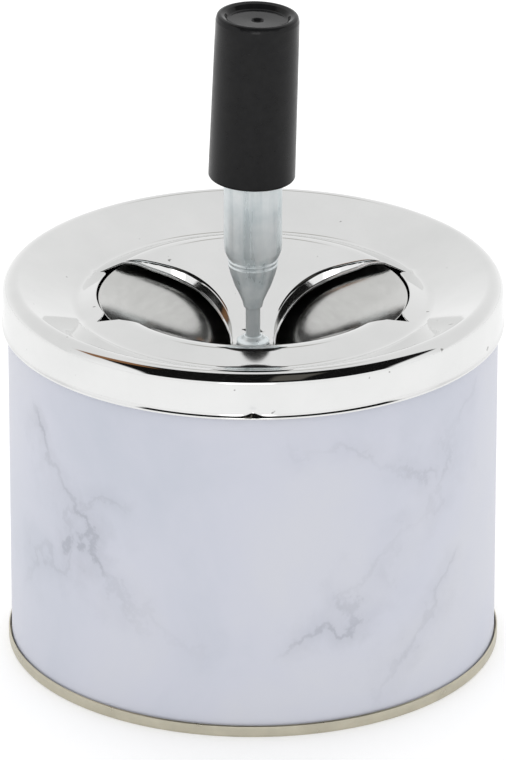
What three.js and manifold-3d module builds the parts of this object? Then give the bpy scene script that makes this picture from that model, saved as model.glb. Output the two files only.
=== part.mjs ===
// A table ashtray bin. A tin can carries a press-on chromed lid with a sunken top and two windows. A conical plate closes the windows from below. Pressing the knob drops the plate into
// the can and a twisted strip spins it, and a spring lifts everything back.
// Millimetres, +Z up, origin on the table under the middle of the can.

import * as THREE from "three";
import { mergeVertices } from "three/addons/utils/BufferGeometryUtils.js";
import Module from "manifold-3d";

// ---------------------------------------------------------------- driving dimensions

// Can: outside radius and height of the wall, and its sheet.
const canRadius = 46.2;
const canHeight = 72.9;
const canSheet = 0.3;
const curlRadius = 0.8; // inward curl round the mouth
const lapWidth = 4; // side lap up the back of the wall
const lapStep = 0.2;
const lapSink = 0.05; // lap let into the faceted wall

// Base: a recessed panel held by a rolled seam round the foot of the wall.
const baseSheet = 0.3;
const seamHeight = 2.5;
const seamGap = 0.3; // between the wall and the seam, inside and outside
const panelHeight = 2.2; // underside of the panel above the table

// Lid: pressed sheet, from the skirt over the shoulder, down the sloping ring to a valley, up to a
// rounded crest and down the bridge to the seat in the middle.
const lidSheet = 0.4;
const lidFit = 0.5; // skirt clear of the wall
const lidSeat = 0.4; // lid clear of the curl
const skirtHeight = 9.1;
const beadRadius = 0.4;
const shoulderRadius = 2;
const valleyRadius = 33.4;
const valleyDrop = 4.86; // below the shoulder's top
const crestRadius = 27.5;
const crestDrop = 2.75;
const crestHalf = 1.3; // half-width of the crest's round, and how far it falls
const crestFall = 0.3;
const bridgeDrop = 9.75; // crest to the edge of the middle seat
const seatRadius = 5;
const seatFlat = 3.6; // flat middle of the bridge, where the mast is riveted
const seatDrop = 0.9;
const nibCount = 3; // pressed nibs that grip the can
const nibRadius = 1.7;
const nibHeight = 1.5; // above the skirt's edge
const nibDepth = 0.28;

// Windows, one on each side of the bridge.
const windowRadius = 29.7;
const windowEarRadius = 31.8; // relief at the corners
const windowEarAngle = 22.5;
const windowArcAngle = 19;
const windowDepth = 15.7; // half-width along the bridge
const windowCrest = 15.8; // distance of the widest place from the middle
const windowEarPull = 4; // how the long edge leaves the corner, inwards and sideways
const windowEarRise = 1.8;
const windowCrestPull = 6; // how flat it runs past the widest place
const neckHalf = 4;

// Guide tube (the mast), with a rolled groove and a tapered lower end.
const tubeRadius = 5.5;
const tubeSheet = 0.5;
const tubeLength = 37.4;
const tubeLift = 7.3; // lower end above the bridge's seat
const tubeLip = 0.4; // sheet round the rivet at the tapered end
const taperHeight = 8.7;
const taperRadius = 4.75;
// Outside of the taper: share of its height, share of the way from its mouth to its full radius.
const taperShape = [[0, 0], [0.14, 0.17], [0.38, 0.46], [0.64, 0.81], [0.88, 0.97], [1, 1]];
const grooveHeight = 1.5;
const grooveDepth = 0.25;
const grooveRise = 0.1; // the neck's foot stands out beyond the taper
const neckInHeight = 1.9; // from the groove up to the full radius

// Hollow rivet that stands the tube on the bridge, and its washers.
const stemWall = 0.355;
const rivetFit = 0.07;
const flareRim = 0.725; // flare beyond the stem
const flareHeight = 0.35;
const headRise = 2.4; // rivet head above the tube's lower end
const headRim = 0.325;
const footRim = 1.725; // zinc foot beyond the stem
const footThickness = 0.5;
const footCone = 0.9;
const backRim = 1.625;
const backThickness = 0.5;

// Twisted strip that carries the plate.
const stripWidth = 1.7;
const stripThickness = 0.7;
const stripLead = 18; // height of one turn
const stripStep = 0.5;
const slotFit = 0.2;
const stripPlay = 0.1; // corners clear of the stem's bore
const twistEnd = 2; // straight below the swivel washer
const driveThickness = 0.5;

// Spring.
const wireRadius = 0.4;
const springFit = 0.7; // wire clear of the tube's inside
const springTurns = 13;
const endTurns = 1; // closed turns at each end
const springSeatThickness = 0.6;
const springSeatPlay = 0.8; // bore clear of the strip's edges

// Knob.
const pressStroke = 12;
const knobLength = 32.3;
const knobTopRadius = 7.8;
const knobFootRadius = 8.15;
const knobEdge = 1;
const knobChamfer = 0.3;
const knobDish = 1.1;
const knobDishRim = 1.2;
const knobPlay = 0.65; // bore clear of the tube, all round
const knobLean = THREE.MathUtils.degToRad(2); // it rests tilted in that play
const knobLeanHeight = 7; // where its axis crosses the tube's, above its foot
const tubeInKnob = 11.1;
const swivelThickness = 0.8;
const swivelRise = 0.6; // swivel washer clear of the tube when the knob is down
const swivelFit = 0.2; // its rim inside the tube's outside
const swivelPlay = 0.5; // its bore clear of the strip's edges
const swivelHeadRim = 1.28; // head beyond the strip's corners
const swivelHeadHeight = 1.4;
const headRoom = 1.2;

// Plate under the windows, and what fixes it to the strip.
const plateSheet = 0.4;
const plateFit = 0.5; // rim clear of the windows' outer arc
const plateSink = 0.1; // rim below the underside of the windows' outer edge
const plateClear = 3.85; // its middle below the rivet's flare
const plateFlat = 4.6;
const hubRadius = 3.2;
const hubHeight = 2.8;
const studFit = 0.1;
const lockRim = 1.5;
const lockThickness = 0.5;
const nutFlats = 4;
const nutHeight = 1.6;
const studEnd = 0.5; // stud standing out of the nut

// Small working gap between pieces that are fastened face to face.
const gap = 0.1;

// Facets round the large and the small turned pieces.
const largeFacets = 60;
const smallFacets = 24;
const arcSteps = 4;

// ---------------------------------------------------------------- radii that follow

const stripCorner = Math.hypot(stripWidth, stripThickness) / 2;
const stemBore = stripCorner + stripPlay;
const stemRadius = stemBore + stemWall;
const tubeMouth = stemRadius + rivetFit + tubeLip;
const swivelHeadRadius = stripCorner + swivelHeadRim;
const studRadius = stripWidth / 2;
const studBore = studRadius + studFit;
const plateRadius = windowRadius - plateFit;
const springRadius = tubeRadius - tubeSheet - springFit - wireRadius; // middle of the wire

// ---------------------------------------------------------------- heights that follow

const lidTop = canHeight + lidSeat + lidSheet;
const lidFoot = lidTop - skirtHeight;
const skirtRadius = canRadius + lidFit + lidSheet;
const valleyZ = lidTop - valleyDrop;
const crestZ = lidTop - crestDrop;
const seatEdgeZ = crestZ - bridgeDrop;
const seatZ = seatEdgeZ - seatDrop;
const seatUnder = seatZ - lidSheet;
const flareTop = seatUnder - 2 * gap - backThickness;
const flareFoot = flareTop - flareHeight;
const crestSlope = (crestZ - crestFall - valleyZ) / (valleyRadius - crestRadius - crestHalf);

const tubeFoot = seatZ + tubeLift;
const taperTop = tubeFoot + taperHeight;
const grooveTop = taperTop + grooveHeight;
const barrelFoot = grooveTop + neckInHeight;
const tubeTop = tubeFoot + tubeLength;
const driveZ = taperTop - driveThickness - gap;
const springFoot = barrelFoot + springSeatThickness + gap;

const knobFoot = tubeTop - tubeInKnob;
const knobTop = knobFoot + knobLength;
const swivelZ = tubeTop + pressStroke + swivelRise;
const swivelTop = swivelZ + swivelThickness;
const knobShoulder = swivelTop + (tubeRadius + knobPlay) * Math.tan(knobLean) + gap;
const headZ = swivelTop + gap;
const headTop = headZ + swivelHeadHeight;

const windowEdgeZ = valleyZ + crestSlope * (valleyRadius - windowRadius);
const plateRimZ = windowEdgeZ - lidSheet - plateSink;
const plateFlatZ = flareFoot - plateClear;
const plateSlope = Math.atan2(plateRimZ - plateFlatZ, plateRadius - plateFlat);
const hubTop = plateFlatZ - plateSheet - gap;
const hubFoot = hubTop - hubHeight;
const lockTop = hubFoot - gap;
const nutTop = lockTop - lockThickness - gap;
const nutFoot = nutTop - nutHeight;

// The strip is straight where it is fixed, and twisted between these two heights.
const twistFoot = seatZ;
const twistTop = swivelZ - twistEnd;

// ---------------------------------------------------------------- helpers

const wasm = await Module();
wasm.setup();

// A closed, indexed mesh with shared corners and no triangle without area.
function closed(geometry) {
  const bare = geometry.clone();
  bare.deleteAttribute("normal");
  bare.deleteAttribute("uv");
  const merged = mergeVertices(bare, 1e-5);
  const index = merged.getIndex().array;
  const kept = [];
  for (let i = 0; i < index.length; i += 3) {
    const [a, b, c] = [index[i], index[i + 1], index[i + 2]];
    if (a !== b && b !== c && c !== a) {
      kept.push(a, b, c);
    }
  }
  merged.setIndex(kept);
  return merged;
}

function toSolid(geometry) {
  const mesh = closed(geometry);
  return new wasm.Manifold(new wasm.Mesh({
    numProp: 3,
    vertProperties: Float32Array.from(mesh.getAttribute("position").array),
    triVerts: Uint32Array.from(mesh.getIndex().array),
  }));
}

function toGeometry(solid) {
  const mesh = solid.getMesh();
  const geometry = new THREE.BufferGeometry();
  geometry.setAttribute("position", new THREE.BufferAttribute(mesh.vertProperties, 3));
  geometry.setIndex(new THREE.BufferAttribute(mesh.triVerts, 1));
  return geometry;
}

// Turns a closed [radius, height] outline, drawn anticlockwise, about the Z axis.
function turned(outline, facets) {
  const points = outline.map(([radius, height]) => new THREE.Vector2(radius, height));
  if (outline[0][0] > 0) {
    points.push(points[0].clone());
  }
  return closed(new THREE.LatheGeometry(points, facets).rotateX(Math.PI / 2));
}

// Points along an arc in the [radius, height] plane, angles in degrees.
function arc(centreRadius, centreHeight, radius, from, to, steps = arcSteps) {
  const points = [];
  for (let i = 0; i <= steps; i += 1) {
    const angle = THREE.MathUtils.degToRad(from + ((to - from) * i) / steps);
    points.push([centreRadius + radius * Math.cos(angle), centreHeight + radius * Math.sin(angle)]);
  }
  return points;
}

// The inner side of a sheet whose outer side is the given outline: each corner moved to the left
// of the way along the outline by the thickness.
function innerSide(outline, thickness) {
  return outline.map((point, i) => {
    const before = outline[Math.max(i - 1, 0)];
    const after = outline[Math.min(i + 1, outline.length - 1)];
    const along = new THREE.Vector2(point[0] - before[0], point[1] - before[1]);
    const onward = new THREE.Vector2(after[0] - point[0], after[1] - point[1]);
    const first = (i === 0 ? onward : along).clone().normalize();
    const second = (i === outline.length - 1 ? along : onward).clone().normalize();
    const middle = first.clone().add(second).normalize();
    const reach = thickness / middle.dot(first);
    return [point[0] - middle.y * reach, point[1] + middle.x * reach];
  });
}

// A sheet's whole section: the outer side, then the inner side on the way back.
function sheetSection(outline, thickness) {
  return [...outline, ...innerSide(outline, thickness).reverse()];
}

// A flat ring or disc.
function washer(bore, radius, foot, thickness, facets = smallFacets) {
  return turned([
    [bore, foot],
    [radius, foot],
    [radius, foot + thickness],
    [bore, foot + thickness],
  ], facets);
}

// Angle of the strip at a height.
function twistAngle(height) {
  const turn = THREE.MathUtils.clamp(height, twistFoot, twistTop) - twistFoot;
  return (2 * Math.PI * turn) / stripLead;
}

// A prism with the strip's section and some clearance, turned to the strip's angle.
function slotCutter(foot, height) {
  const width = stripWidth + 2 * slotFit;
  const thickness = stripThickness + 2 * slotFit;
  const box = new THREE.BoxGeometry(width, thickness, height + 2);
  box.rotateZ(twistAngle(foot + height / 2));
  return toSolid(box.translate(0, 0, foot + height / 2));
}

function slotted(geometry, foot, height) {
  return toGeometry(toSolid(geometry).subtract(slotCutter(foot, height)));
}

// ---------------------------------------------------------------- can

function canWall() {
  const foot = baseSheet + gap;
  const curlCentre = canRadius - curlRadius;
  const outline = [
    [canRadius, foot],
    [canRadius, canHeight - curlRadius],
    ...arc(curlCentre, canHeight - curlRadius, curlRadius, 20, 200, 2 * arcSteps),
  ];
  const wall = toSolid(turned(sheetSection(outline, canSheet), largeFacets));
  const lapFoot = seamHeight + gap;
  const lapTop = lidFoot - gap;
  const lap = new THREE.BoxGeometry(lapWidth, canSheet, lapTop - lapFoot);
  const lapY = canRadius + lapStep - lapSink - canSheet / 2;
  return toGeometry(wall.add(toSolid(lap.translate(0, lapY, (lapTop + lapFoot) / 2))));
}

function canBottom() {
  const inner = canRadius - canSheet - seamGap - baseSheet;
  const outer = canRadius + seamGap + baseSheet;
  const round = baseSheet;
  return turned([
    [0, panelHeight],
    [inner, panelHeight],
    [inner, 0],
    [outer - round, 0],
    ...arc(outer - round, round, round, -60, 0, 2),
    ...arc(outer - round, seamHeight - round, round, 0, 90, 3),
    [outer - baseSheet, seamHeight - round],
    [outer - baseSheet, baseSheet],
    [inner + baseSheet, baseSheet],
    [inner + baseSheet, panelHeight + baseSheet],
    [0, panelHeight + baseSheet],
  ], largeFacets);
}

// ---------------------------------------------------------------- lid

// The right-hand window, seen from above.
function windowShape() {
  const arcAngle = THREE.MathUtils.degToRad(windowArcAngle);
  const earAngle = THREE.MathUtils.degToRad(windowEarAngle);
  const earX = windowEarRadius * Math.cos(earAngle);
  const earY = windowEarRadius * Math.sin(earAngle);
  const earPull = earX - windowEarPull;
  const earRise = windowDepth - windowEarRise;
  const crestPull = windowCrest + windowCrestPull;
  const shape = new THREE.Shape();
  shape.absarc(0, 0, windowRadius, -arcAngle, arcAngle, false);
  shape.lineTo(earX, earY);
  shape.bezierCurveTo(earPull, earRise, crestPull, windowDepth, windowCrest, windowDepth);
  shape.bezierCurveTo(windowCrest / 2, windowDepth, neckHalf, windowDepth / 2, neckHalf, 0);
  shape.bezierCurveTo(neckHalf, -windowDepth / 2, windowCrest / 2, -windowDepth, windowCrest, -windowDepth);
  shape.bezierCurveTo(crestPull, -windowDepth, earPull, -earRise, earX, -earY);
  return shape;
}

function lidShell() {
  const shoulderZ = lidTop - shoulderRadius;
  const outline = [
    [skirtRadius, lidFoot + 2 * beadRadius],
    [skirtRadius, shoulderZ],
    ...arc(skirtRadius - shoulderRadius, shoulderZ, shoulderRadius, 20, 113, 6),
    [valleyRadius, valleyZ],
    [crestRadius + crestHalf, crestZ - crestFall],
    [crestRadius, crestZ],
    [crestRadius - crestHalf, crestZ - crestFall],
    [seatRadius, seatEdgeZ],
    [seatFlat, seatZ],
    [stemRadius + gap, seatZ],
  ];
  const section = [
    ...arc(skirtRadius, lidFoot + beadRadius, beadRadius, -90, 60, 5),
    ...sheetSection(outline, lidSheet),
    [skirtRadius - lidSheet, lidFoot],
  ];
  let shell = toSolid(turned(section, largeFacets));

  const cutter = new THREE.ExtrudeGeometry(windowShape(), {
    depth: lidTop - seatZ + 4,
    bevelEnabled: false,
    curveSegments: 8,
  });
  cutter.translate(0, 0, seatZ - 2);
  shell = shell.subtract(toSolid(cutter));
  shell = shell.subtract(toSolid(cutter.clone().rotateZ(Math.PI)));

  for (let i = 0; i < nibCount; i += 1) {
    const angle = -Math.PI / 2 + (2 * Math.PI * i) / nibCount;
    const place = (reach) => {
      const ball = new THREE.SphereGeometry(nibRadius, 12, 8).rotateZ(angle);
      const x = reach * Math.cos(angle);
      const y = reach * Math.sin(angle);
      return toSolid(ball.translate(x, y, lidFoot + nibHeight));
    };
    const boss = skirtRadius - lidSheet - nibDepth + nibRadius;
    shell = shell.add(place(boss).subtract(toSolid(washer(
      skirtRadius - lidSheet / 2,
      skirtRadius + 2 * nibRadius,
      lidFoot - nibRadius,
      nibHeight + 3 * nibRadius,
      largeFacets,
    ))));
    shell = shell.subtract(place(boss + lidSheet));
  }
  return toGeometry(shell);
}

// ---------------------------------------------------------------- mast

function guideTube() {
  const taper = taperShape.map(([height, reach]) => [
    THREE.MathUtils.lerp(tubeMouth, taperRadius, reach),
    tubeFoot + height * taperHeight,
  ]);
  const taperBore = taper
    .filter(([, height]) => height < driveZ - 2 * driveThickness)
    .map(([radius, height]) => [Math.max(radius - tubeSheet, stemRadius + rivetFit), height]);
  return turned([
    ...taper,
    [taperRadius - grooveDepth, taperTop + 0.3 * grooveHeight],
    [taperRadius, taperTop + 0.5 * grooveHeight],
    [taperRadius - grooveDepth, taperTop + 0.75 * grooveHeight],
    [taperRadius + grooveRise, grooveTop],
    [tubeRadius - grooveRise, grooveTop + 0.6 * neckInHeight],
    [tubeRadius, barrelFoot],
    [tubeRadius, tubeTop],
    [tubeRadius - tubeSheet, tubeTop],
    [tubeRadius - tubeSheet, barrelFoot],
    [taperRadius - tubeSheet, grooveTop],
    [taperRadius - tubeSheet, driveZ - gap],
    ...taperBore.reverse(),
  ], smallFacets);
}

function stemRivet() {
  const head = tubeFoot + headRise;
  return turned([
    [stemBore, flareFoot],
    [stemRadius + flareRim, flareFoot],
    [stemRadius + flareRim, flareTop],
    [stemRadius, flareTop],
    [stemRadius, head - flareHeight],
    [stemRadius + headRim, head],
    [stemBore, head],
  ], smallFacets);
}

function footWasher() {
  const foot = seatZ + gap / 2;
  return turned([
    [stemRadius + rivetFit, foot],
    [stemRadius + footRim, foot],
    [stemRadius + footRim, foot + footThickness],
    [stemRadius + flareHeight, foot + footThickness + footCone],
    [stemRadius + rivetFit, foot + footThickness + footCone],
  ], smallFacets);
}

function backingWasher() {
  const foot = seatUnder - gap - backThickness;
  return washer(stemRadius + rivetFit, stemRadius + backRim, foot, backThickness);
}

function driveWasher() {
  const disc = washer(0, taperRadius - tubeSheet - gap, driveZ, driveThickness);
  return slotted(disc, driveZ, driveThickness);
}

function springSeat() {
  const bore = stripWidth / 2 + springSeatPlay;
  return washer(bore, tubeRadius - tubeSheet - 2 * gap, barrelFoot, springSeatThickness);
}

// Helix with closed end turns.
class SpringCurve extends THREE.Curve {
  getPoint(t, target = new THREE.Vector3()) {
    const foot = springFoot + wireRadius;
    const top = swivelZ - gap - wireRadius;
    const closedPitch = 2 * wireRadius + gap;
    const turn = t * springTurns;
    const openTurns = springTurns - 2 * endTurns;
    const openPitch = (top - foot - 2 * endTurns * closedPitch) / openTurns;
    const low = Math.min(turn, endTurns) * closedPitch;
    const open = THREE.MathUtils.clamp(turn - endTurns, 0, openTurns) * openPitch;
    const high = Math.max(turn - endTurns - openTurns, 0) * closedPitch;
    const angle = 2 * Math.PI * turn;
    const x = springRadius * Math.cos(angle);
    const y = springRadius * Math.sin(angle);
    return target.set(x, y, foot + low + open + high);
  }
}

function returnSpring() {
  const wire = new THREE.Shape();
  wire.absarc(0, 0, wireRadius, 0, 2 * Math.PI, false);
  return closed(new THREE.ExtrudeGeometry(wire, {
    steps: springTurns * 14,
    extrudePath: new SpringCurve(),
    curveSegments: 3,
  }));
}

// ---------------------------------------------------------------- knob

function knobBody() {
  const bore = tubeRadius + knobPlay;
  const roof = headTop + headRoom - knobFoot;
  const shoulder = knobShoulder - knobFoot;
  const cavity = swivelHeadRadius + headRoom;
  const rim = knobTopRadius - knobEdge;
  return turned([
    [bore, 0],
    [knobFootRadius - knobChamfer, 0],
    [knobFootRadius, knobChamfer],
    ...arc(rim, knobLength - knobEdge, knobEdge, 0, 90),
    [rim - knobDishRim / 2, knobLength - knobChamfer],
    [rim - knobDishRim, knobLength - knobDish],
    [0, knobLength - knobDish],
    [0, roof],
    [cavity, roof],
    [cavity, shoulder],
    [bore, shoulder],
  ], 40);
}

function swivelWasher() {
  return washer(stripWidth / 2 + swivelPlay, tubeRadius - swivelFit, swivelZ, swivelThickness);
}

// ---------------------------------------------------------------- plate and its strip

function swivelHead() {
  const disc = washer(0, swivelHeadRadius, headZ, swivelHeadHeight);
  return slotted(disc, headZ, swivelHeadHeight);
}

function spindle() {
  const outline = new THREE.Shape();
  outline.moveTo(-stripWidth / 2, -stripThickness / 2);
  outline.lineTo(stripWidth / 2, -stripThickness / 2);
  outline.lineTo(stripWidth / 2, stripThickness / 2);
  outline.lineTo(-stripWidth / 2, stripThickness / 2);
  const length = headTop - hubFoot;
  const strip = new THREE.ExtrudeGeometry(outline, {
    depth: length,
    steps: Math.round(length / stripStep),
    bevelEnabled: false,
  });
  strip.translate(0, 0, hubFoot);
  const position = strip.getAttribute("position");
  const corner = new THREE.Vector3();
  for (let i = 0; i < position.count; i += 1) {
    corner.fromBufferAttribute(position, i);
    corner.applyAxisAngle(new THREE.Vector3(0, 0, 1), twistAngle(corner.z));
    position.setXYZ(i, corner.x, corner.y, corner.z);
  }
  const stud = washer(0, studRadius, nutFoot - studEnd, hubFoot + gap - nutFoot + studEnd);
  return toGeometry(toSolid(strip).add(toSolid(stud)));
}

function rotorPlate() {
  const underFlat = plateFlatZ - plateSheet;
  const rimUnder = plateRimZ - plateSheet / Math.cos(plateSlope);
  const plate = turned([
    [0, underFlat],
    [plateFlat, underFlat],
    [plateRadius, rimUnder],
    [plateRadius, plateRimZ],
    [plateFlat, plateFlatZ],
    [0, plateFlatZ],
  ], largeFacets);
  return slotted(plate, underFlat, plateSheet);
}

function rotorHub() {
  return slotted(washer(0, hubRadius, hubFoot + gap, hubHeight - gap), hubFoot, hubHeight);
}

function lockWasher() {
  return washer(studBore, studBore + lockRim, lockTop - lockThickness, lockThickness);
}

function spindleNut() {
  const hexagon = new THREE.Shape();
  const corner = nutFlats / Math.sqrt(3);
  for (let i = 0; i < 6; i += 1) {
    const angle = (i * Math.PI) / 3;
    const point = [corner * Math.cos(angle), corner * Math.sin(angle)];
    if (i === 0) {
      hexagon.moveTo(...point);
    } else {
      hexagon.lineTo(...point);
    }
  }
  const bore = new THREE.Path();
  bore.absarc(0, 0, studBore, 0, 2 * Math.PI, true);
  hexagon.holes.push(bore);
  const nut = new THREE.ExtrudeGeometry(hexagon, {
    depth: nutHeight,
    bevelEnabled: false,
    curveSegments: 12,
  });
  return closed(nut.translate(0, 0, nutFoot));
}

// ---------------------------------------------------------------- materials

function finish(color, roughness, metalness) {
  return () => new THREE.MeshStandardMaterial({ color, roughness, metalness });
}

const printedTin = finish(0xccd2de, 0.45, 0);
const lacqueredTin = finish(0xbeb9a0, 0.35, 0.9);
const chrome = finish(0xe6e8e8, 0.06, 1);
const satinSteel = finish(0xc4c4c0, 0.28, 1);
const zinc = finish(0xbfcdd4, 0.3, 0.9);
const springSteel = finish(0x9a9da0, 0.3, 1);
const blackPlastic = finish(0x242426, 0.35, 0);

// ---------------------------------------------------------------- assembly

function piece(name, geometry, material) {
  geometry.computeVertexNormals();
  const mesh = new THREE.Mesh(geometry, material());
  mesh.name = name;
  return mesh;
}

const can = new THREE.Group();
can.add(piece("can_wall", canWall(), printedTin));
can.add(piece("can_bottom", canBottom(), lacqueredTin));

const lid = new THREE.Group();
lid.add(piece("lid", lidShell(), chrome));
lid.add(piece("guide_tube", guideTube(), zinc));
lid.add(piece("stem_rivet", stemRivet(), zinc));
lid.add(piece("foot_washer", footWasher(), zinc));
lid.add(piece("backing_washer", backingWasher(), zinc));
lid.add(piece("drive_washer", driveWasher(), springSteel));
lid.add(piece("spring_seat", springSeat(), springSteel));
lid.add(piece("return_spring", returnSpring(), springSteel));

// The knob tilts about the place where its axis crosses the tube's.
const knob = new THREE.Group();
const tilted = new THREE.Group();
const knobMesh = piece("knob", knobBody(), blackPlastic);
tilted.position.z = knobFoot + knobLeanHeight;
tilted.rotation.y = knobLean;
knobMesh.position.z = -knobLeanHeight;
tilted.add(knobMesh);
knob.add(tilted);
knob.add(piece("swivel_washer", swivelWasher(), springSteel));

const rotor = new THREE.Group();
rotor.add(piece("swivel_head", swivelHead(), springSteel));
rotor.add(piece("spindle", spindle(), springSteel));
rotor.add(piece("rotor_plate", rotorPlate(), satinSteel));
rotor.add(piece("rotor_hub", rotorHub(), zinc));
rotor.add(piece("lock_washer", lockWasher(), springSteel));
rotor.add(piece("spindle_nut", spindleNut(), zinc));

const ashtray = new THREE.Group();
ashtray.add(can, lid, knob, rotor);

export default ashtray;
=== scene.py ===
"""Looks of a push-down spinning ashtray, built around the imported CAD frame.

Lengths below are in millimetres until they go into a mesh, which is in metres.
"""
import math

import bmesh
import bpy
import numpy as np
from mathutils import Matrix, Vector
from mathutils.geometry import delaunay_2d_cdt

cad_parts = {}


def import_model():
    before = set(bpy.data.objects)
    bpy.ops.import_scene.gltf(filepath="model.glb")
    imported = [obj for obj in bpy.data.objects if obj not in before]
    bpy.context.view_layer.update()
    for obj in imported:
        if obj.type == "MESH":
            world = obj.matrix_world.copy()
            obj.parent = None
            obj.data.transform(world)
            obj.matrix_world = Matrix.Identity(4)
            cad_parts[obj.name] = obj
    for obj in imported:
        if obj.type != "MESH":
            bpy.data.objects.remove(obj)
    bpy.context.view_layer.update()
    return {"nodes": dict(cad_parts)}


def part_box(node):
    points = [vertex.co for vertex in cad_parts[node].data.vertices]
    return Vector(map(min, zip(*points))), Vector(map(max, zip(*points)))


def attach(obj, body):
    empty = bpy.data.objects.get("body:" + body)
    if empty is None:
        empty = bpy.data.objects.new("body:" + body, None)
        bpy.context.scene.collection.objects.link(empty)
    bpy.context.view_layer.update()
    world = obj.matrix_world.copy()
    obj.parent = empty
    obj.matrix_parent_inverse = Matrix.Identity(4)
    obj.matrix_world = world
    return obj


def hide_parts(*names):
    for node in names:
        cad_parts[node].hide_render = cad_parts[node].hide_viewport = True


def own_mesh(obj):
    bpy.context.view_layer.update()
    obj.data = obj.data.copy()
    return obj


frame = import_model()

MM = 0.001

# ------------------------------------------------------------------ sizes, in millimetres

def low(node):
    """Lowest corner of a CAD node in millimetres."""
    return [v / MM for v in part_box(node)[0]]


def high(node):
    """Highest corner of a CAD node in millimetres."""
    return [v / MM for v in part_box(node)[1]]


CAN_RADIUS = high("can_wall")[0]
CAN_TOP = high("can_wall")[2]
CAN_SHEET = 0.3
SEAM_RADIUS = high("can_bottom")[0]
SEAM_HEIGHT = high("can_bottom")[2]
PANEL_HEIGHT = 2.2

LID_TOP = high("lid")[2]
LID_SHEET = 0.4
LID_FOOT = LID_TOP - 9.1
BEAD_RADIUS = 0.4
SKIRT_RADIUS = high("lid")[0] - BEAD_RADIUS
SHOULDER = 2.9
SEAT_Z = low("lid")[2] + LID_SHEET
VALLEY = (33.4, LID_TOP - 4.86)
CREST = (27.5, LID_TOP - 2.75)
SEAT_EDGE_Z = CREST[1] - 9.75
JOIN_RADIUS = 38.0
RING_SLOPE = math.radians(23.3)

PLATE_RADIUS = high("rotor_plate")[0]
PLATE_RIM_Z = high("rotor_plate")[2]
PLATE_SHEET = 0.4
PLATE_FLAT_Z = low("rotor_plate")[2] + PLATE_SHEET

TUBE_RADIUS = high("guide_tube")[0]
TUBE_FOOT = low("guide_tube")[2]
TUBE_TOP = high("guide_tube")[2]

KNOB_LENGTH = 32.3
KNOB_LEAN = math.radians(2)
KNOB_LEAN_HEIGHT = 7.0
KNOB_FOOT = TUBE_TOP - 11.1


# ------------------------------------------------------------------ mesh helpers

def new_object(name, verts, faces, smooth_angle=None):
    """A smooth-shaded mesh object from points in millimetres."""
    mesh = bpy.data.meshes.new(name)
    mesh.from_pydata([tuple(c * MM for c in v) for v in verts], [], [tuple(f) for f in faces])
    mesh.validate()
    mesh.update()
    obj = bpy.data.objects.new(name, mesh)
    bpy.context.scene.collection.objects.link(obj)
    mesh.shade_smooth()
    if smooth_angle:
        mesh.set_sharp_from_angle(angle=math.radians(smooth_angle))
    return obj


def rounded(corners, steps=8):
    """A [radius, height] outline with each (r, z, fillet) corner rounded."""
    points = []
    count = len(corners)
    for i, (r, z, fillet) in enumerate(corners):
        here = Vector((r, z))
        if fillet <= 0 or i in (0, count - 1):
            points.append((r, z))
            continue
        before = Vector(corners[i - 1][:2]) - here
        after = Vector(corners[i + 1][:2]) - here
        half = before.angle(after) / 2
        if half > math.pi / 2 - 0.002:
            points.append((r, z))
            continue
        reach = min(fillet / math.tan(half), before.length * 0.49, after.length * 0.49)
        radius = reach * math.tan(half)
        start = here + before.normalized() * reach
        end = here + after.normalized() * reach
        inward = (before.normalized() + after.normalized()).normalized()
        centre = here + inward * (radius / math.sin(half))
        first = start - centre
        sweep = first.angle_signed(end - centre)
        for k in range(steps + 1):
            turn = -sweep * k / steps
            c, s = math.cos(turn), math.sin(turn)
            points.append((centre.x + first.x * c - first.y * s, centre.y + first.x * s + first.y * c))
    return points


def even_angles(count):
    return [2 * math.pi * i / count for i in range(count)]


def lathe(name, outline, angles=None, closed=True, smooth_angle=40, nudge=None):
    """Turns an outline about Z. A point on the axis becomes one vertex."""
    angles = angles or even_angles(128)
    verts, rows, faces = [], [], []
    for r, z in outline:
        if r < 1e-6:
            rows.append([len(verts)] * len(angles))
            verts.append((0.0, 0.0, z))
            continue
        row = []
        for a in angles:
            point = (r * math.cos(a), r * math.sin(a), z)
            if nudge:
                point = nudge(r, a, z)
            row.append(len(verts))
            verts.append(point)
        rows.append(row)
    pairs = list(zip(rows, rows[1:]))
    if closed and outline[0][0] > 1e-6:
        pairs.append((rows[-1], rows[0]))
    n = len(angles)
    for lower, upper in pairs:
        for j in range(n):
            k = (j + 1) % n
            quad = [lower[j], lower[k], upper[k], upper[j]]
            face = [v for i, v in enumerate(quad) if v != quad[i - 1]]
            if len(face) > 2:
                faces.append(face)
    return new_object(name, verts, faces, smooth_angle)


def sheet(outline, thickness):
    """Closed section of a sheet whose outer side is the outline, drawn anticlockwise."""
    inner = []
    for i, point in enumerate(outline):
        before = Vector(outline[max(i - 1, 0)])
        after = Vector(outline[min(i + 1, len(outline) - 1)])
        along = (after - before).normalized()
        inner.append((point[0] - along.y * thickness, point[1] + along.x * thickness))
    return list(outline) + inner[::-1]


def tube_faces(start, rows, sides):
    """Quads round a tube made of rows of vertices, and its two ends."""
    faces = []
    for i in range(rows - 1):
        row = start + i * sides
        for k in range(sides):
            m = (k + 1) % sides
            faces.append([row + k, row + m, row + sides + m, row + sides + k])
    faces.append([start + k for k in range(sides)][::-1])
    faces.append([start + (rows - 1) * sides + k for k in range(sides)])
    return faces


def sweep_tube(name, path, radius, sides=12):
    """A round wire along a list of points."""
    path = np.array(path)
    tangents = np.gradient(path, axis=0)
    tangents /= np.linalg.norm(tangents, axis=1)[:, None]
    verts = []
    for p, t in zip(path, tangents):
        side = np.cross(t, (0, 0, 1.0))
        side /= np.linalg.norm(side)
        up = np.cross(side, t)
        for k in range(sides):
            a = 2 * math.pi * k / sides
            verts.append(tuple(p + radius * (math.cos(a) * side - math.sin(a) * up)))
    return new_object(name, verts, tube_faces(0, len(path), sides), 40)


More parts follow.
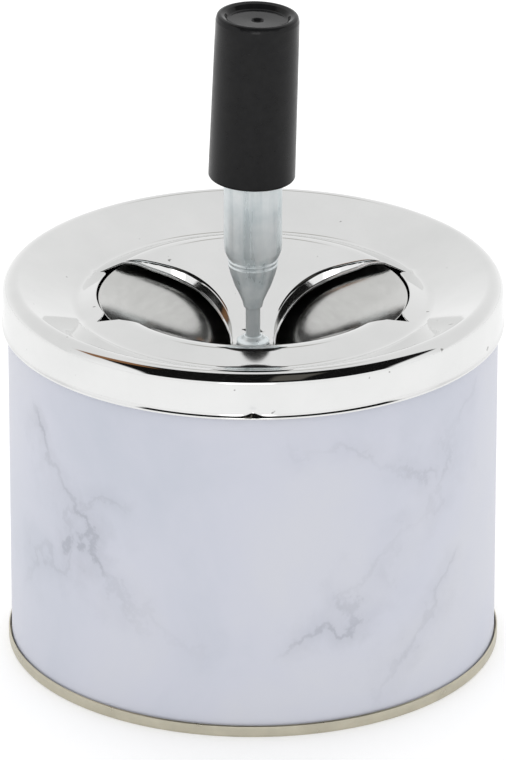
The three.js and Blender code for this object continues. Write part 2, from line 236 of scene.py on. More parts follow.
# ------------------------------------------------------------------ materials

def new_material(name):
    mat = bpy.data.materials.new(name)
    mat.use_nodes = True
    tree = mat.node_tree
    bsdf = tree.nodes["Principled BSDF"]
    coords = tree.nodes.new("ShaderNodeTexCoord")
    return mat, tree, bsdf, coords


def add(tree, kind, **values):
    node = tree.nodes.new(kind)
    for key, value in values.items():
        if hasattr(node, key):
            setattr(node, key, value)
        else:
            node.inputs[key.replace("_", " ")].default_value = value
    return node


def noise(tree, coords, scale, detail=4.0, rough=0.55, stretch=None, distortion=0.0):
    """Noise of a scale per metre, on the object's own coordinates."""
    node = add(tree, "ShaderNodeTexNoise", Scale=scale, Detail=detail, Roughness=rough, Distortion=distortion)
    source = coords.outputs["Object"]
    if stretch:
        mapping = add(tree, "ShaderNodeMapping")
        mapping.inputs["Scale"].default_value = stretch
        tree.links.new(source, mapping.inputs["Vector"])
        source = mapping.outputs["Vector"]
    tree.links.new(source, node.inputs["Vector"])
    return node.outputs["Fac"]


def ramp(tree, source, stops, interpolation="LINEAR"):
    node = tree.nodes.new("ShaderNodeValToRGB")
    node.color_ramp.interpolation = interpolation
    while len(node.color_ramp.elements) < len(stops):
        node.color_ramp.elements.new(0.5)
    for element, (position, colour) in zip(node.color_ramp.elements, stops):
        element.position = position
        element.color = (*colour, 1) if len(colour) == 3 else colour
    tree.links.new(source, node.inputs["Fac"])
    return node.outputs["Color"]


def grey(value):
    return (value, value, value)


def mix(tree, factor, a, b, blend="MIX"):
    node = tree.nodes.new("ShaderNodeMix")
    node.data_type = "RGBA"
    node.blend_type = blend
    for socket, value in ((node.inputs["Factor"], factor), (node.inputs[6], a), (node.inputs[7], b)):
        if isinstance(value, bpy.types.NodeSocket):
            tree.links.new(value, socket)
        elif isinstance(value, (int, float)):
            socket.default_value = value
        else:
            socket.default_value = (*value, 1)
    return node.outputs[2]


def bump(tree, bsdf, height, strength, distance):
    node = add(tree, "ShaderNodeBump", Strength=strength, Distance=distance)
    tree.links.new(height, node.inputs["Height"])
    tree.links.new(node.outputs["Normal"], bsdf.inputs["Normal"])


def chrome_material():
    mat, tree, bsdf, coords = new_material("chrome")
    bsdf.inputs["Metallic"].default_value = 1
    smears = noise(tree, coords, 60, 5)
    tone = ramp(tree, smears, [(0.3, (0.80, 0.805, 0.80)), (0.7, (0.86, 0.862, 0.857))])
    specks = noise(tree, coords, 420, 2)
    speck_mask = ramp(tree, specks, [(0.735, grey(0)), (0.765, grey(1))])
    tree.links.new(mix(tree, speck_mask, tone, (0.32, 0.32, 0.31)), bsdf.inputs["Base Color"])
    tree.links.new(ramp(tree, smears, [(0.35, grey(0.035)), (0.75, grey(0.075))]), bsdf.inputs["Roughness"])
    return mat


def metal(name, metallic, grain_size, tones, roughness, stretch=None):
    """A metal whose tone and roughness follow one grain. The pairs are (low, high)."""
    mat, tree, bsdf, coords = new_material(name)
    bsdf.inputs["Metallic"].default_value = metallic
    grain = noise(tree, coords, *grain_size, stretch=stretch)
    tone = ramp(tree, grain, [(0.3, tones[0]), (0.7, tones[1])])
    rough = ramp(tree, grain, [(0.3, grey(roughness[0])), (0.8, grey(roughness[1]))])
    tree.links.new(tone, bsdf.inputs["Base Color"])
    tree.links.new(rough, bsdf.inputs["Roughness"])
    return mat, tree, bsdf, coords


def satin_material():
    tones = ((0.60, 0.60, 0.585), (0.68, 0.68, 0.665))
    mat, tree, bsdf, coords = metal("satin_steel", 1, (150, 6), tones, (0.12, 0.18), stretch=(1, 1, 6))
    bump(tree, bsdf, noise(tree, coords, 900, 3), 0.03, 0.0001)
    return mat


def underside_shade_material():
    """The under side of the lid's middle: rougher metal whose darker tone is painted shade under the bridge."""
    return metal("underside_painted_shade", 0.8, (90, 5), ((0.30, 0.30, 0.29), (0.42, 0.42, 0.41)), (0.3, 0.45))[0]


def zinc_material():
    mat, tree, bsdf, coords = new_material("zinc")
    bsdf.inputs["Metallic"].default_value = 0.4
    streaks = noise(tree, coords, 420, 5, stretch=(1, 1, 0.07))
    blotches = noise(tree, coords, 150, 4, 0.6)
    tone = ramp(tree, streaks, [(0.34, (0.62, 0.69, 0.71)), (0.56, (0.92, 0.96, 0.97))])
    patches = ramp(tree, blotches, [(0.35, (0.52, 0.61, 0.64)), (0.60, (0.92, 0.96, 0.97))])
    tree.links.new(mix(tree, 0.35, tone, patches), bsdf.inputs["Base Color"])
    tree.links.new(ramp(tree, streaks, [(0.3, grey(0.25)), (0.8, grey(0.38))]), bsdf.inputs["Roughness"])
    bump(tree, bsdf, streaks, 0.1, 0.0002)
    return mat


def steel_material():
    return metal("spring_steel", 1, (300, 5), ((0.40, 0.40, 0.41), (0.52, 0.52, 0.53)), (0.25, 0.4))[0]


def lacquer_material():
    return metal("gold_lacquer", 0.85, (200, 5), ((0.54, 0.505, 0.40), (0.64, 0.60, 0.48)), (0.26, 0.4))[0]


def inside_material():
    return metal("bare_tin", 1, (90, 5), ((0.50, 0.50, 0.49), (0.60, 0.60, 0.585)), (0.22, 0.36))[0]


def plastic_material():
    mat, tree, bsdf, coords = new_material("black_plastic")
    grain = noise(tree, coords, 500, 4)
    bsdf.inputs["Specular IOR Level"].default_value = 0.19
    tone = ramp(tree, grain, [(0.3, (0.007, 0.007, 0.0075)), (0.7, (0.012, 0.012, 0.0125))])
    tree.links.new(tone, bsdf.inputs["Base Color"])
    split = tree.nodes.new("ShaderNodeSeparateXYZ")
    tree.links.new(coords.outputs["Object"], split.inputs["Vector"])
    side = ramp(tree, grain, [(0.3, grey(0.26)), (0.8, grey(0.38))])
    glossy_top = fading(tree, split.outputs["Z"], (KNOB_FOOT + 26) * MM, (KNOB_FOOT + 31) * MM, 1.0)
    rough = mix(tree, glossy_top, grey(0.1), side)
    tree.links.new(rough, bsdf.inputs["Roughness"])
    bump(tree, bsdf, noise(tree, coords, 2600, 2), 0.12, 0.0001)
    return mat


# Where the print's veins lie on the wall, in degrees round from the front (right is positive), and
# in millimetres up: (from, to), strength.
VEINS = [
    ((-62, 52), (-40, 30), 0.9), ((-40, 30), (-14, 16), 0.35), ((-66, 20), (-34, 44), 0.5),
    ((40, 38), (12, 16), 0.8), ((12, 60), (44, 46), 0.5), ((30, 8), (54, 26), 0.45),
    ((62, 60), (34, 30), 0.55), ((118, 20), (150, 56), 0.9), ((150, 56), (196, 40), 0.5),
    ((205, 12), (240, 50), 0.8), ((236, 24), (262, 60), 0.4),
]
VEIN_WOBBLE = 34.0  # how far the noise pushes a vein sideways
VEIN_END = 6.0  # length over which its ends fade


def marble_material():
    """Pale blue-grey marble printed on the tin, under a thin varnish."""
    mat, tree, bsdf, coords = new_material("marble_print")
    cloud = noise(tree, coords, 22, 6, 0.55, distortion=0.5)
    base = ramp(tree, cloud, [
        (0.30, (0.52, 0.545, 0.62)), (0.5, (0.57, 0.585, 0.66)), (0.72, (0.60, 0.61, 0.66)),
    ])
    split = tree.nodes.new("ShaderNodeSeparateXYZ")
    tree.links.new(coords.outputs["Object"], split.inputs["Vector"])
    wobble = noise(tree, coords, 60, 6, 0.62)
    fade = noise(tree, coords, 45, 3)
    total = None
    for (a0, z0), (a1, z1), strength in VEINS:
        line = vein(tree, split, wobble, (a0, z0), (a1, z1), strength)
        total = line if total is None else larger(tree, total, line)
    thin = multiply(tree, total, ramp(tree, fade, [(0.36, grey(0.1)), (0.62, grey(1))]))
    colour = mix(tree, thin, base, (0.27, 0.285, 0.335))
    tree.links.new(colour, bsdf.inputs["Base Color"])
    bsdf.inputs["Roughness"].default_value = 0.42
    bsdf.inputs["Coat Weight"].default_value = 0.1
    bsdf.inputs["Coat Roughness"].default_value = 0.12
    bump(tree, bsdf, noise(tree, coords, 700, 3), 0.03, 0.0001)
    return mat


def math_node(tree, operation, *values):
    node = add(tree, "ShaderNodeMath", operation=operation)
    for socket, value in zip(node.inputs, values):
        if isinstance(value, bpy.types.NodeSocket):
            tree.links.new(value, socket)
        else:
            socket.default_value = value
    return node.outputs[0]


def larger(tree, a, b):
    return math_node(tree, "MAXIMUM", a, b)


def multiply(tree, a, b):
    return math_node(tree, "MULTIPLY", a, b)


def plus(tree, a, b):
    return math_node(tree, "ADD", a, b)


def turned(tree, a, b, c, s):
    """How far the point (a, b) lies along the direction (c, s)."""
    return plus(tree, multiply(tree, a, c), multiply(tree, b, s))


def vein(tree, split, wobble, start, end, strength):
    """A faint crooked line on the wall between two places, with a soft halo."""
    middle = math.radians((start[0] + end[0]) / 2)
    sx, sy = math.sin(middle), -math.cos(middle)
    # A point's place in millimetres: round the wall from the vein's middle, and up.
    flat = turned(tree, split.outputs["X"], split.outputs["Y"], -sy, sx)
    facing = turned(tree, split.outputs["X"], split.outputs["Y"], sx, sy)
    round_mm = multiply(tree, math_node(tree, "ARCTAN2", flat, facing), CAN_RADIUS)
    up_mm = multiply(tree, split.outputs["Z"], 1 / MM)
    half = math.radians(end[0] - start[0]) / 2 * CAN_RADIUS
    along = Vector((2 * half, end[1] - start[1]))
    length = along.length
    along.normalize()
    u = plus(tree, round_mm, half)
    v = math_node(tree, "SUBTRACT", up_mm, start[1])
    along_mm = turned(tree, u, v, along.x, along.y)
    across = turned(tree, u, v, -along.y, along.x)
    shift = multiply(tree, math_node(tree, "SUBTRACT", wobble, 0.5), VEIN_WOBBLE)
    off = math_node(tree, "ABSOLUTE", plus(tree, across, shift))
    core = fading(tree, off, 0.1, 1.5, 0.36 * strength)
    halo = fading(tree, off, 0.0, 8.0, 0.26 * strength)
    past_start = fading(tree, multiply(tree, along_mm, -1.0), 0.0, VEIN_END, 1.0)
    before_end = fading(tree, along_mm, length, length + VEIN_END, 1.0)
    return multiply(tree, plus(tree, core, halo), multiply(tree, past_start, before_end))


def fading(tree, value, start, end, strength):
    """The strength up to a first value, falling to nothing at a second."""
    node = add(tree, "ShaderNodeMapRange", interpolation_type="SMOOTHSTEP")
    tree.links.new(value, node.inputs["Value"])
    node.inputs["From Min"].default_value = start
    node.inputs["From Max"].default_value = end
    node.inputs["To Min"].default_value = strength
    node.inputs["To Max"].default_value = 0
    return node.outputs["Result"]


CHROME = chrome_material()
SATIN = satin_material()
UNDERSIDE_SHADE = underside_shade_material()
ZINC = zinc_material()
STEEL = steel_material()
LACQUER = lacquer_material()
INSIDE = inside_material()
PLASTIC = plastic_material()
MARBLE = marble_material()


def dress(obj, body, slot, material, *nodes):
    """Finishes a piece: its material, its body and the CAD nodes it stands for. Its slot is not used."""
    if not obj.data.materials:
        obj.data.materials.append(material)
    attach(obj, body)
    if nodes:
        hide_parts(*nodes)
    return obj


# ------------------------------------------------------------------ can

LAP_ANGLE = math.pi / 2
LAP_HALF = 2.0 / CAN_RADIUS
LAP_EDGE = 0.12  # width of the lap's rounded edge, as a part of LAP_HALF
LAP_RISE = 0.15


def wall_angles():
    angles = [a for a in even_angles(256) if abs(a - LAP_ANGLE) > 1.3 * LAP_HALF]
    for edge in (-LAP_HALF, LAP_HALF):
        for step in (-LAP_EDGE, -0.04, 0.0, 0.04, LAP_EDGE):
            angles.append(LAP_ANGLE + edge + step * LAP_HALF)
    return sorted(angles)


def lapped(r, a, z):
    """The wall's side lap: the outer sheet stands a little proud behind the can."""
    rise = 0.0
    if SEAM_HEIGHT < z < LID_FOOT and r > CAN_RADIUS - CAN_SHEET - 0.01:
        t = (LAP_HALF - abs(a - LAP_ANGLE)) / (LAP_EDGE * LAP_HALF)
        rise = LAP_RISE * min(max(0.5 + 0.5 * t, 0), 1)
    return ((r + rise) * math.cos(a), (r + rise) * math.sin(a), z)


def can_wall():
    curl = 0.8
    outline = [(CAN_RADIUS, low("can_wall")[2])]
    for z in (SEAM_HEIGHT - 0.4, SEAM_HEIGHT + 0.1, 20, 40, 60, LID_FOOT - 0.2, LID_FOOT + 0.2):
        outline.append((CAN_RADIUS, z))
    for k in range(17):
        angle = math.radians(220 * k / 16)
        centre_r, centre_z = CAN_RADIUS - curl, CAN_TOP - curl
        outline.append((centre_r + curl * math.cos(angle), centre_z + curl * math.sin(angle)))
    wall = lathe("tin_wall", sheet(outline, CAN_SHEET), wall_angles(), nudge=lapped, smooth_angle=50)
    wall.data.materials.append(MARBLE)
    wall.data.materials.append(INSIDE)
    for polygon in wall.data.polygons:
        radius = math.hypot(polygon.center.x, polygon.center.y) / MM
        outside = radius > CAN_RADIUS - 0.12 and polygon.center.z / MM < CAN_TOP - curl
        polygon.material_index = 0 if outside else 1
    return dress(wall, "can", "printed_tin", MARBLE, "can_wall")


def can_base():
    """Recessed panel with one pressed ring, held by the seam rolled round the foot."""
    inner = CAN_RADIUS - CAN_SHEET - 0.6
    outer = SEAM_RADIUS
    t = 0.3
    panel = [
        (0, PANEL_HEIGHT, 0), (30, PANEL_HEIGHT, 2),
        (31.5, PANEL_HEIGHT - 0.7, 1), (33.5, PANEL_HEIGHT - 0.7, 1),
        (35, PANEL_HEIGHT, 2), (inner, PANEL_HEIGHT, 0.6), (inner, 0, 0.35), (outer - 0.3, 0, 0.4),
        (outer, 0.4, 0.5), (outer, SEAM_HEIGHT - 0.3, 0.3), (outer - 0.28, SEAM_HEIGHT, 0.15),
        (outer - t, SEAM_HEIGHT - 0.35, 0.1), (outer - t, t, 0),
        (inner + t, t, 0), (inner + t, PANEL_HEIGHT + t, 0.3),
        (35, PANEL_HEIGHT + t, 2), (33.5, PANEL_HEIGHT + t - 0.7, 1), (31.5, PANEL_HEIGHT + t - 0.7, 1),
        (30, PANEL_HEIGHT + t, 2), (0, PANEL_HEIGHT + t, 0),
    ]
    base = lathe("tin_base", rounded(panel, 5), even_angles(256), closed=False)
    return dress(base, "can", "tin_base", LACQUER, "can_bottom")


# ------------------------------------------------------------------ lid

NIB_ANGLES = [-math.pi / 2 + 2 * math.pi * i / 3 for i in range(3)]
NIB_DEPTH = 0.50  # the pressed point
NIB_DISH = 0.12  # the wider dish round it
NIB_REACH = 4  # how far round the skirt it goes to each side
NIB_INSIDE = 0.74  # depth on the skirt's inner side, as a part of the outer one
HEM_INSET = 0.15


def lid_angles():
    """Even steps, with closer ones at each nib."""
    fine = math.radians(0.25)
    angles = set(round(a, 9) for a in even_angles(288))
    for nib in NIB_ANGLES:
        near = [a for a in angles if abs((a - nib + math.pi) % (2 * math.pi) - math.pi) < 18.5 * fine]
        angles -= set(near)
        for k in range(-18, 19):
            angles.add(round((nib + k * fine) % (2 * math.pi), 9))
    return sorted(angles)


LID_ANGLES = lid_angles()


def bezier(p0, p1, p2, p3, count):
    t = np.linspace(0, 1, count + 1)[:-1, None]
    p0, p1, p2, p3 = (np.array(p, float) for p in (p0, p1, p2, p3))
    return (1 - t) ** 3 * p0 + 3 * (1 - t) ** 2 * t * p1 + 3 * (1 - t) * t ** 2 * p2 + t ** 3 * p3


def window_outline():
    """Right-hand window seen from above, anticlockwise."""
    arc_radius, ear_radius = 29.7, 31.8
    arc_half, ear = math.radians(19), math.radians(22.5)
    depth, crest, neck = 15.7, 15.8, 4.0
    ear_x, ear_y = ear_radius * math.cos(ear), ear_radius * math.sin(ear)
    arc_y = arc_radius * math.sin(arc_half)
    turn = np.linspace(-arc_half, arc_half, 49)
    arc = np.stack([arc_radius * np.cos(turn), arc_radius * np.sin(turn)], 1)
    arc_end = (arc_radius * math.cos(arc_half), arc_y)
    ear_in = bezier(
        arc_end, (arc_end[0] + 0.3, arc_y + 1.2), (ear_x - 0.9, ear_y - 0.6), (ear_x, ear_y), 8)[1:]
    upper = np.concatenate([
        bezier((ear_x, ear_y), (ear_x - 4, depth - 1.8), (crest + 6, depth), (crest, depth), 40),
        bezier((crest, depth), (crest / 2, depth), (neck, depth / 2), (neck, 0), 48),
    ])
    lower_in = ear_in[::-1] * (1, -1)
    lower = upper[::-1] * (1, -1)
    return np.concatenate([arc, ear_in, upper, [(neck, 0)], lower, lower_in])


def distance_to(loop, points):
    """Shortest distance from each point to a closed loop."""
    edge = np.roll(loop, -1, axis=0) - loop
    length2 = (edge ** 2).sum(1)
    best = np.full(len(points), 1e9)
    for s, e, l2 in zip(loop, edge, length2):
        if l2 < 1e-12:
            continue
        rel = points - s
        t = np.clip((rel @ e) / l2, 0, 1)
        d = rel - t[:, None] * e
        best = np.minimum(best, (d ** 2).sum(1))
    return np.sqrt(best)


def inside(loop, points):
    """Which points lie inside a closed loop."""
    x, y = points[:, 0], points[:, 1]
    result = np.zeros(len(points), bool)
    j = len(loop) - 1
    for i in range(len(loop)):
        xi, yi = loop[i]
        xj, yj = loop[j]
        if yi != yj:
            cross = ((yi > y) != (yj > y)) & (x < (xj - xi) * (y - yi) / (yj - yi) + xi)
            result ^= cross
        j = i
    return result


WINDOW = window_outline()
WINDOWS = [WINDOW, WINDOW * (-1, -1)]

# Height of the lid's upper side against radius, up to the corner of the shoulder.
CORNER_Z = VALLEY[1] + (SKIRT_RADIUS - VALLEY[0]) * math.tan(RING_SLOPE)
TOP_PROFILE = rounded([
    (0.5, SEAT_Z, 0), (3.6, SEAT_Z, 1.6), (5.0, SEAT_EDGE_Z, 3.0), (CREST[0], CREST[1] + 0.27, 3.4),
    (*VALLEY, 2.2), (SKIRT_RADIUS, CORNER_Z, 0),
], 64)
PROFILE_R = np.array([p[0] for p in TOP_PROFILE])
PROFILE_Z = np.array([p[1] for p in TOP_PROFILE])

FOLD_RADIUS = 0.5
FOLD_ANGLE = math.radians(72)
# How deep the windows' edges are folded down, at some distances from the mast.
FOLD_PLACES = (4, 7, 10, 14, 20, 25, 27.5, 28.6)
FOLD_DROPS = (0.4, 1.5, 2.0, 2.1, 1.9, 1.2, 0.4, 0.0)


def folded(distance, drop):
    """How far a window's edge is folded down, at a distance from the edge."""
    turn = FOLD_RADIUS * math.sin(FOLD_ANGLE)
    turn_drop = FOLD_RADIUS * (1 - math.cos(FOLD_ANGLE))
    small = np.sqrt(np.maximum(drop * (2 * FOLD_RADIUS - drop), 0))
    reach = np.where(drop > turn_drop, turn + (drop - turn_drop) / math.tan(FOLD_ANGLE), small)
    past = np.maximum(reach - distance, 0)
    curved = FOLD_RADIUS - np.sqrt(FOLD_RADIUS ** 2 - np.minimum(past, turn) ** 2)
    return curved + np.maximum(past - turn, 0) * math.tan(FOLD_ANGLE)


def lid_height(points):
    """Height of the lid's upper side: the turned form, with the windows' edges folded down."""
    r = np.hypot(points[:, 0], points[:, 1])
    d = np.minimum(distance_to(WINDOWS[0], points), distance_to(WINDOWS[1], points))
    drop = np.interp(r, FOLD_PLACES, FOLD_DROPS)
    return np.interp(r, PROFILE_R, PROFILE_Z) - folded(d, drop)


def offset_rows(loop, distances):
    """Loops outside a window, at some distances from its edge."""
    along = np.roll(loop, -1, axis=0) - np.roll(loop, 1, axis=0)
    along /= np.linalg.norm(along, axis=1)[:, None]
    outward = np.stack([along[:, 1], -along[:, 0]], 1)
    rows = []
    for distance in distances:
        row = loop + outward * distance
        keep = distance_to(loop, row) > distance * 0.97
        rows.append(row[keep][:: 1 if distance < 1.2 else 3])
    return np.concatenate(rows)


def lid_shell():
    """The lid: a flat-cut middle with its windows, and a turned outside."""
    hole = 1.5
    rim = [np.array((JOIN_RADIUS * math.cos(a), JOIN_RADIUS * math.sin(a))) for a in LID_ANGLES]
    hole_loop = [np.array((hole * math.cos(a), hole * math.sin(a))) for a in even_angles(64)]
    loops = [np.array(rim), np.array(hole_loop), *WINDOWS]
    rows = (*np.arange(0.1, 1.2, 0.075), 1.35, 1.8, 2.4, 3.0)
    extra = np.concatenate([offset_rows(w, rows) for w in WINDOWS])
    grid = []
    for r in np.arange(2.0, JOIN_RADIUS - 0.4, 0.6):
        count = max(48, int(2 * math.pi * r / 0.7))
        for k in range(count):
            a = 2 * math.pi * (k + 0.5 * (int(r * 10) % 2)) / count
            grid.append((r * math.cos(a), r * math.sin(a)))
    grid = np.array(grid)
    far = np.minimum(distance_to(WINDOWS[0], grid), distance_to(WINDOWS[1], grid)) > 3.2
    free = np.concatenate([grid[far], extra])
    radius = np.hypot(free[:, 0], free[:, 1])
    free = free[(radius > hole + 0.3) & (radius < JOIN_RADIUS - 0.3)]
    free = free[~inside(WINDOWS[0], free) & ~inside(WINDOWS[1], free)]

    flat, edges, start = [], [], 0
    for loop in loops:
        flat.extend(loop.tolist())
        edges.extend([(start + i, start + (i + 1) % len(loop)) for i in range(len(loop))])
        start += len(loop)
    flat.extend(free.tolist())
    out, _, triangles, _, _, _ = delaunay_2d_cdt([Vector(p) for p in flat], edges, [], 1, 1e-6)
    plan = np.array([(p.x, p.y) for p in out])
    centres = np.array([plan[list(t)].mean(axis=0) for t in triangles])
    keep = ~inside(WINDOWS[0], centres) & ~inside(WINDOWS[1], centres)
    keep &= np.hypot(centres[:, 0], centres[:, 1]) > hole * 0.98
    triangles = [list(t) for t, k in zip(triangles, keep) if k]

    step = 0.04
    z = lid_height(plan)
    slope_x = (lid_height(plan + (step, 0)) - lid_height(plan - (step, 0))) / (2 * step)
    slope_y = (lid_height(plan + (0, step)) - lid_height(plan - (0, step))) / (2 * step)
    normals = np.stack([-slope_x, -slope_y, np.ones(len(plan))], 1)
    normals /= np.linalg.norm(normals, axis=1)[:, None]
    top = np.column_stack([plan, z])
    bottom = top - normals * LID_SHEET

    verts = [tuple(v) for v in top] + [tuple(v) for v in bottom]
    fixed = [tuple(n) for n in normals] + [tuple(-n) for n in normals]
    count = len(plan)
    faces = triangles + [[i + count for i in t[::-1]] for t in triangles]

    # Rounded cut edges round the windows and the middle hole.
    used = {}  # a dict, so that the order stays the same
    for t in triangles:
        for a, b in zip(t, t[1:] + t[:1]):
            used[(a, b)] = True
    border = [(a, b) for a, b in used if (b, a) not in used]
    border = [(a, b) for a, b in border if math.hypot(*plan[a]) < JOIN_RADIUS - 0.01]
    outward = {}
    for a, b in border:
        along = plan[b] - plan[a]
        side = np.array((along[1], -along[0], 0.0)) / np.linalg.norm(along)
        for v in (a, b):
            outward[v] = outward.get(v, 0) + side
    arc_steps = 4
    ring = {}
    for v, side in outward.items():
        n = normals[v]
        side = side - n * side.dot(n)
        side /= np.linalg.norm(side)
        middle = top[v] - n * LID_SHEET / 2
        ids = [v]
        for k in range(1, arc_steps):
            angle = math.pi / 2 - math.pi * k / arc_steps
            direction = math.cos(angle) * side + math.sin(angle) * n
            ids.append(len(verts))
            verts.append(tuple(middle + LID_SHEET / 2 * direction))
            fixed.append(tuple(direction))
        ids.append(v + count)
        ring[v] = ids
    for a, b in border:
        for k in range(arc_steps):
            faces.append([ring[b][k], ring[a][k], ring[a][k + 1], ring[b][k + 1]])

    # Turned part: sloping ring, shoulder, skirt, rolled edge and the inner side.
    skirt_rows = [(SKIRT_RADIUS, z, 0) for z in np.arange(LID_FOOT + 4.2, LID_FOOT + 1.0, -0.25)]
    ring_radii = np.linspace(JOIN_RADIUS, SKIRT_RADIUS - SHOULDER - 1.2, 8)
    outer = [(r, float(np.interp(r, PROFILE_R, PROFILE_Z))) for r in ring_radii]
    shoulder = rounded([
        outer[0] + (0,), (SKIRT_RADIUS, CORNER_Z, SHOULDER), (SKIRT_RADIUS, LID_TOP - 6, 0),
    ], 24)[1:-1]
    skirt = [(SKIRT_RADIUS, z) for z in (LID_TOP - 3.0, LID_TOP - 4.0)] + [(r, z) for r, z, _ in skirt_rows]
    bead = []
    for k in range(11):
        angle = math.radians(40 - 130 * k / 10)
        bead.append((SKIRT_RADIUS - HEM_INSET + BEAD_RADIUS * math.cos(angle),
                     LID_FOOT + BEAD_RADIUS + BEAD_RADIUS * math.sin(angle)))
    outside = outer[:-1] + shoulder + skirt + bead
    inner_skirt = SKIRT_RADIUS - LID_SHEET
    inner_rows = [(inner_skirt, LID_FOOT)] + [(inner_skirt, z) for _, z, _ in skirt_rows[::-1]]
    under = sheet(outer[:-1] + shoulder, -LID_SHEET)[len(outer) - 1 + len(shoulder):]
    whole = outside + inner_rows + under
    section_start = len(verts)
    n = len(LID_ANGLES)

    def nibbed(r, a, z):
        """Presses the nibs into the skirt."""
        if z < LID_FOOT + 4.3 and r > inner_skirt - 0.05:
            for nib in NIB_ANGLES:
                across = ((a - nib + math.pi) % (2 * math.pi) - math.pi) * r
                if abs(across) < NIB_REACH:
                    height = z - LID_FOOT - 1.5
                    deep = NIB_DEPTH * math.exp(-(across ** 2 + height ** 2) / (2 * 0.8 ** 2))
                    wide = NIB_DISH * math.exp(-(across / 2.0) ** 2 / 2 - (height / 0.9) ** 2 / 2)
                    side = NIB_INSIDE if r < SKIRT_RADIUS - 0.2 else 1
                    r -= (deep + wide) * (1 - (abs(across) / NIB_REACH) ** 2) * side
        return (r * math.cos(a), r * math.sin(a), z)

    for r, z in whole:
        for a in LID_ANGLES:
            verts.append(nibbed(r, a, z))
            fixed.append((0.0, 0.0, 0.0))
    for i in range(len(whole) - 1):
        for j in range(n):
            k = (j + 1) % n
            base = section_start + i * n
            faces.append([base + k, base + j, base + n + j, base + n + k])

    obj = new_object("chrome_lid", verts, faces)
    mesh = obj.data
    mesh.materials.append(CHROME)
    # The middle's under side gets the darker material: painted shade under the bridge.
    mesh.materials.append(UNDERSIDE_SHADE)
    for polygon in list(mesh.polygons)[len(triangles):2 * len(triangles)]:
        polygon.material_index = 1
    merge_lid_join(mesh, fixed)
    return dress(obj, "lid", "lid_chrome", CHROME, "lid")


def merge_lid_join(mesh, fixed):
    """Welds the flat-cut middle to the turned outside, and sets exact normals on the middle."""
    bm = bmesh.new()
    bm.from_mesh(mesh)
    layer = bm.verts.layers.int.new("source")
    for i, v in enumerate(bm.verts):
        v[layer] = i
    seam = [v for v in bm.verts if abs(v.co.xy.length / MM - JOIN_RADIUS) < 0.5]
    bmesh.ops.remove_doubles(bm, verts=seam, dist=0.02 * MM)
    bm.verts.ensure_lookup_table()
    bm.to_mesh(mesh)
    order = [v[layer] for v in bm.verts]
    bm.free()
    mesh.shade_smooth()
    mesh.normals_split_custom_set_from_vertices([fixed[i] for i in order])


# ------------------------------------------------------------------ mast

def guide_tube():
    z = TUBE_FOOT
    outline = rounded([
        (1.45, z + 0.5, 0), (1.45, z + 0.05, 0.1), (1.75, z, 0.15), (2.0, z + 1.2, 2),
        (2.45, z + 2.3, 3), (3.5, z + 4.6, 6), (4.3, z + 7.0, 8), (4.72, z + 8.7, 1.5),
        (4.45, z + 9.0, 0.25), (4.8, z + 9.5, 0.35), (4.45, z + 9.95, 0.25), (4.85, z + 10.25, 0.4),
        (5.4, z + 11.6, 2.5), (TUBE_RADIUS, z + 13, 3), (TUBE_RADIUS, TUBE_TOP - 0.1, 0.1),
        (TUBE_RADIUS - 0.1, TUBE_TOP, 0.1), (TUBE_RADIUS - 0.5, TUBE_TOP, 0.1),
        (TUBE_RADIUS - 0.5, z + 12.3, 0.5),
        (4.2, z + 10.2, 0.5), (4.2, z + 8, 0.5), (3.1, z + 4.8, 2), (2.0, z + 2.4, 1),
    ], 6)
    return dress(lathe("mast", outline, even_angles(96)), "lid", "zinc", ZINC, "guide_tube")


def stem():
    head = high("stem_rivet")[2]
    foot = low("stem_rivet")[2]
    outline = rounded([
        (1.02, foot, 0), (2.1, foot, 0.15), (2.1, foot + 0.35, 0.1), (1.375, foot + 0.42, 0.05),
        (1.375, head - 0.4, 0.2), (1.7, head - 0.05, 0.1), (1.02, head, 0),
    ], 5)
    return dress(lathe("stem", outline, even_angles(64)), "lid", "zinc", ZINC, "stem_rivet")


def foot():
    z = low("foot_washer")[2]
    outline = rounded([
        (1.45, z, 0), (3.1, z, 0.15), (3.1, z + 0.45, 0.2), (2.2, z + 0.75, 0.8),
        (1.72, z + 1.4, 0.2), (1.45, z + 1.4, 0),
    ], 6)
    return dress(lathe("mast_foot", outline, even_angles(64)), "lid", "zinc", ZINC, "foot_washer")


def spring():
    wire, radius, turns, end = 0.4, 3.9, 13, 1
    bottom, top = low("return_spring")[2] + wire, high("return_spring")[2] - wire
    pitch_end = 2 * wire + 0.1
    pitch = (top - bottom - 2 * end * pitch_end) / (turns - 2 * end)
    path = []
    for k in range(turns * 36 + 1):
        turn = k / 36
        z = bottom + min(turn, end) * pitch_end + min(max(turn - end, 0), turns - 2 * end) * pitch
        z += max(turn - turns + end, 0) * pitch_end
        path.append((radius * math.cos(2 * math.pi * turn), radius * math.sin(2 * math.pi * turn), z))
    obj = dress(sweep_tube("coil_spring", path, wire), "lid", "spring_steel", STEEL, "return_spring")
    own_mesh(obj)
    return obj


# ------------------------------------------------------------------ knob

